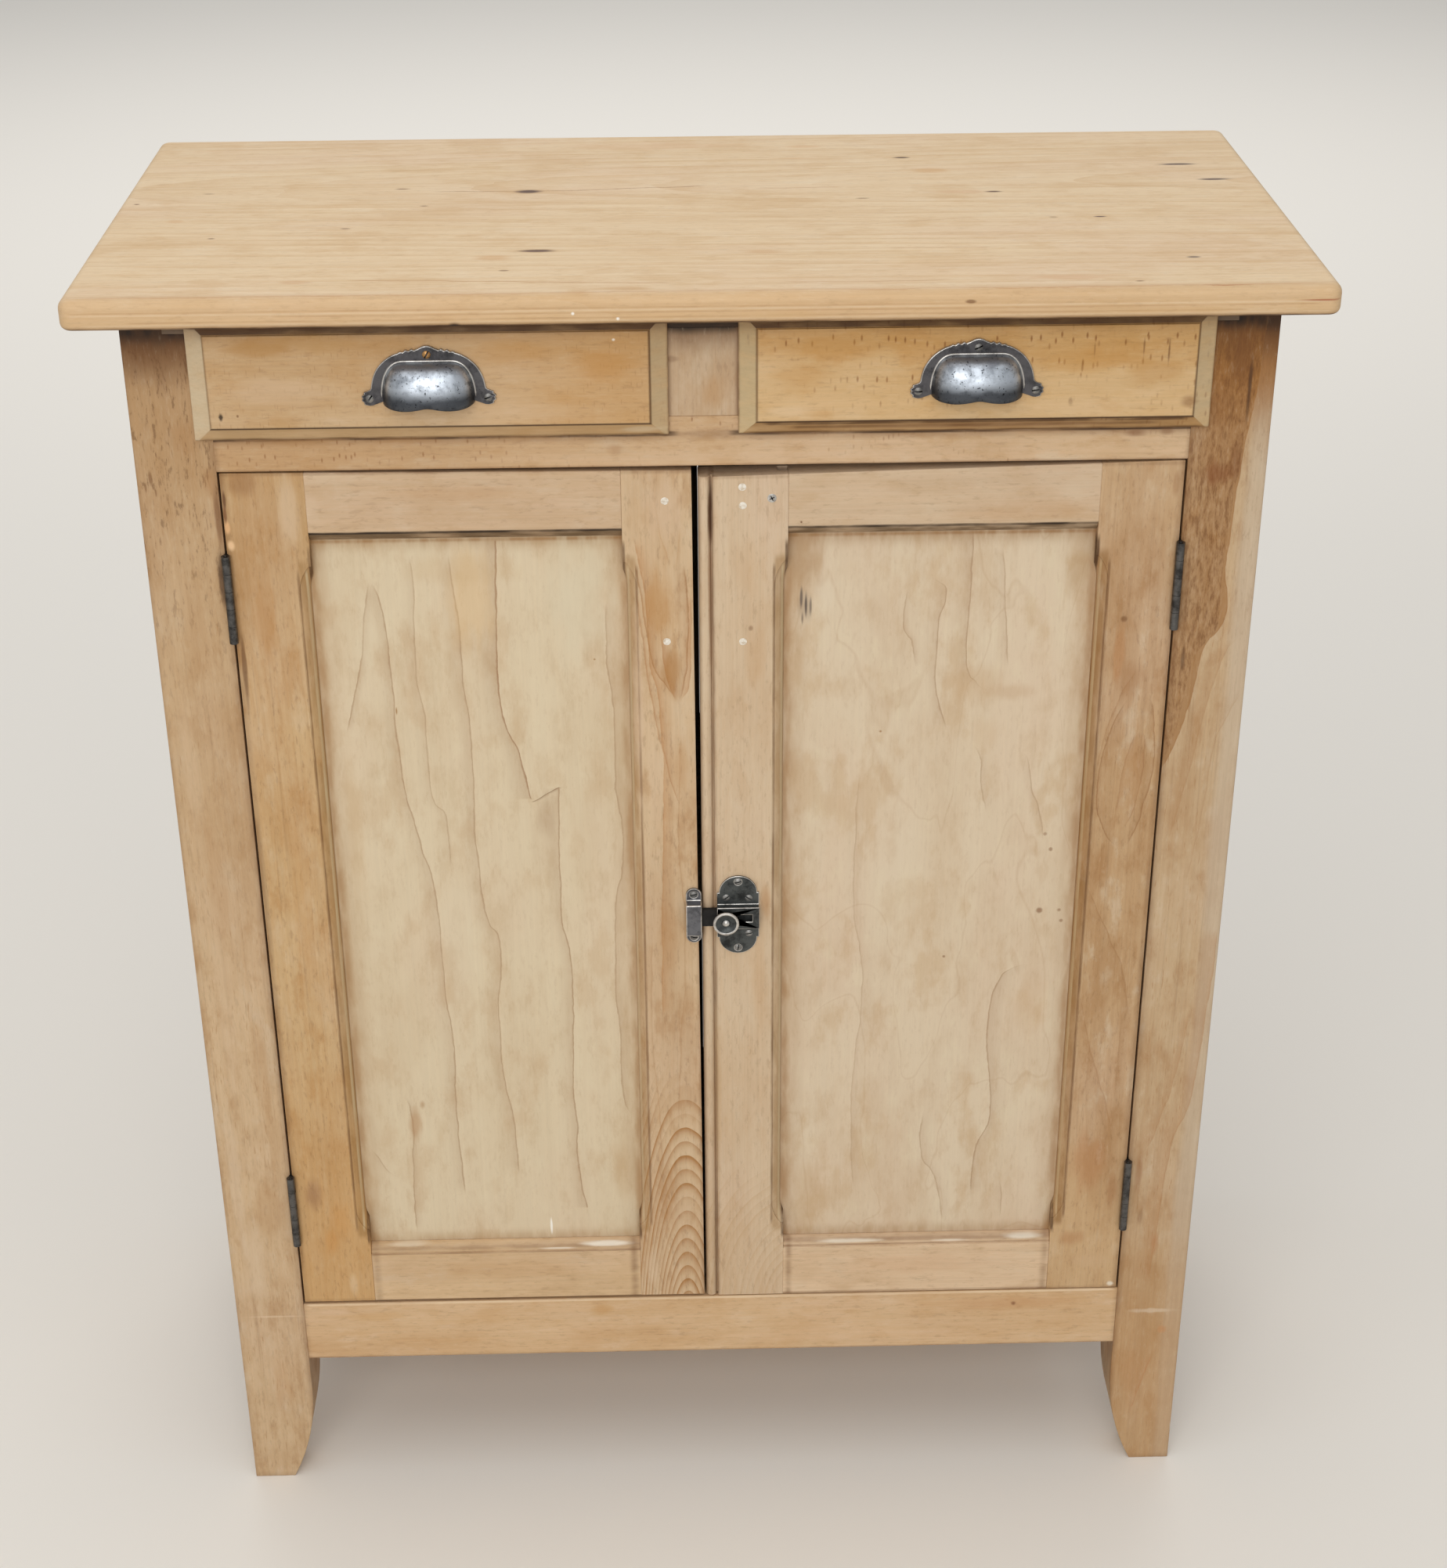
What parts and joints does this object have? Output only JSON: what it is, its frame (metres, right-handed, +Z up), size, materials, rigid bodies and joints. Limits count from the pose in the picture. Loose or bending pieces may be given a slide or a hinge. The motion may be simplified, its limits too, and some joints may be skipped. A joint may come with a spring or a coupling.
{
  "type": "jelly cupboard",
  "caption": "Low stripped-wood cupboard with framed doors on butt hinges, lipped drawers with iron cup pulls, a shelf, a slide latch and feet that curve in.",
  "frame": {"origin": "middle of the footprint of the top, on the floor", "axes": "+Z up, the doors and drawers face -Y, +X to the right seen from the front"},
  "size_m": [0.888, 0.437, 1.098],
  "materials": {
    "case_wood": "stripped and waxed, satin",
    "top_wood": "stripped and waxed, satin",
    "panel_wood": "stripped and waxed, satin",
    "inner_wood": "bare, dull",
    "dark_iron": "burnished, worn",
    "hinge_iron": "old, lightly rusted",
    "screw_steel": "tarnished"
  },
  "bodies": {
    "carcass": {"back_boards": "inner_wood", "back_bottom_rail": "inner_wood", "back_left_post": "case_wood", "back_mid_rail": "inner_wood", "back_right_post": "case_wood", "back_top_rail": "inner_wood", "bottom_rail": "case_wood", "centre_drawer_runner": "inner_wood", "cupboard_floor": "inner_wood", "drawer_divider": "case_wood", "front_left_post": "case_wood", "front_right_post": "case_wood", "left_hinge_pins": "hinge_iron", "left_hinge_post_leaves": "hinge_iron", "left_side_bottom_rail": "case_wood", "left_side_panel": "case_wood", "left_side_top_rail": "case_wood", "mid_rail": "case_wood", "right_hinge_pins": "hinge_iron", "right_hinge_post_leaves": "hinge_iron", "right_side_bottom_rail": "case_wood", "right_side_panel": "case_wood", "right_side_top_rail": "case_wood", "shelf": "inner_wood", "shelf_cleats": "inner_wood", "side_drawer_runners": "inner_wood", "top_board": "top_wood", "top_front_rail": "case_wood"},
    "left_door": {"keeper_screws": "screw_steel", "latch_keeper": "dark_iron", "left_door_bottom_rail": "case_wood", "left_door_hinge_stile": "case_wood", "left_door_meeting_stile": "case_wood", "left_door_panel": "panel_wood", "left_door_top_rail": "case_wood", "left_hinge_door_leaves": "hinge_iron"},
    "right_door": {"latch_plate": "dark_iron", "latch_screws": "screw_steel", "right_door_bottom_rail": "case_wood", "right_door_hinge_stile": "case_wood", "right_door_meeting_stile": "case_wood", "right_door_panel": "panel_wood", "right_door_top_rail": "case_wood", "right_hinge_door_leaves": "hinge_iron"},
    "latch_slide": {"latch_bolt": "dark_iron", "latch_knob": "dark_iron"},
    "left_drawer": {"left_cup_pull": "dark_iron", "left_drawer_back": "inner_wood", "left_drawer_bottom": "inner_wood", "left_drawer_front": "case_wood", "left_drawer_inner_side": "inner_wood", "left_drawer_outer_side": "inner_wood", "left_pull_screws": "screw_steel"},
    "right_drawer": {"right_cup_pull": "dark_iron", "right_drawer_back": "inner_wood", "right_drawer_bottom": "inner_wood", "right_drawer_front": "case_wood", "right_drawer_inner_side": "inner_wood", "right_drawer_outer_side": "inner_wood", "right_pull_screws": "screw_steel"}
  },
  "joints": [
    {"name": "left_door_hinge", "type": "hinge", "parent": "carcass", "child": "left_door", "pos_m": [-0.3512, -0.1881, 0.577], "axis": [0, 0, -1], "range_deg": [0, 170]},
    {"name": "right_door_hinge", "type": "hinge", "parent": "carcass", "child": "right_door", "pos_m": [0.3512, -0.1881, 0.577], "axis": [0, 0, 1], "range_deg": [0, 170]},
    {"name": "latch_slide", "type": "slide", "parent": "right_door", "child": "latch_slide", "axis": [1, 0, 0], "range_m": [-0.0033, 0.018]},
    {"name": "left_drawer_slide", "type": "slide", "parent": "carcass", "child": "left_drawer", "axis": [0, -1, 0], "range_m": [0, 0.27]},
    {"name": "right_drawer_slide", "type": "slide", "parent": "carcass", "child": "right_drawer", "axis": [0, -1, 0], "range_m": [0, 0.27]}
  ]
}
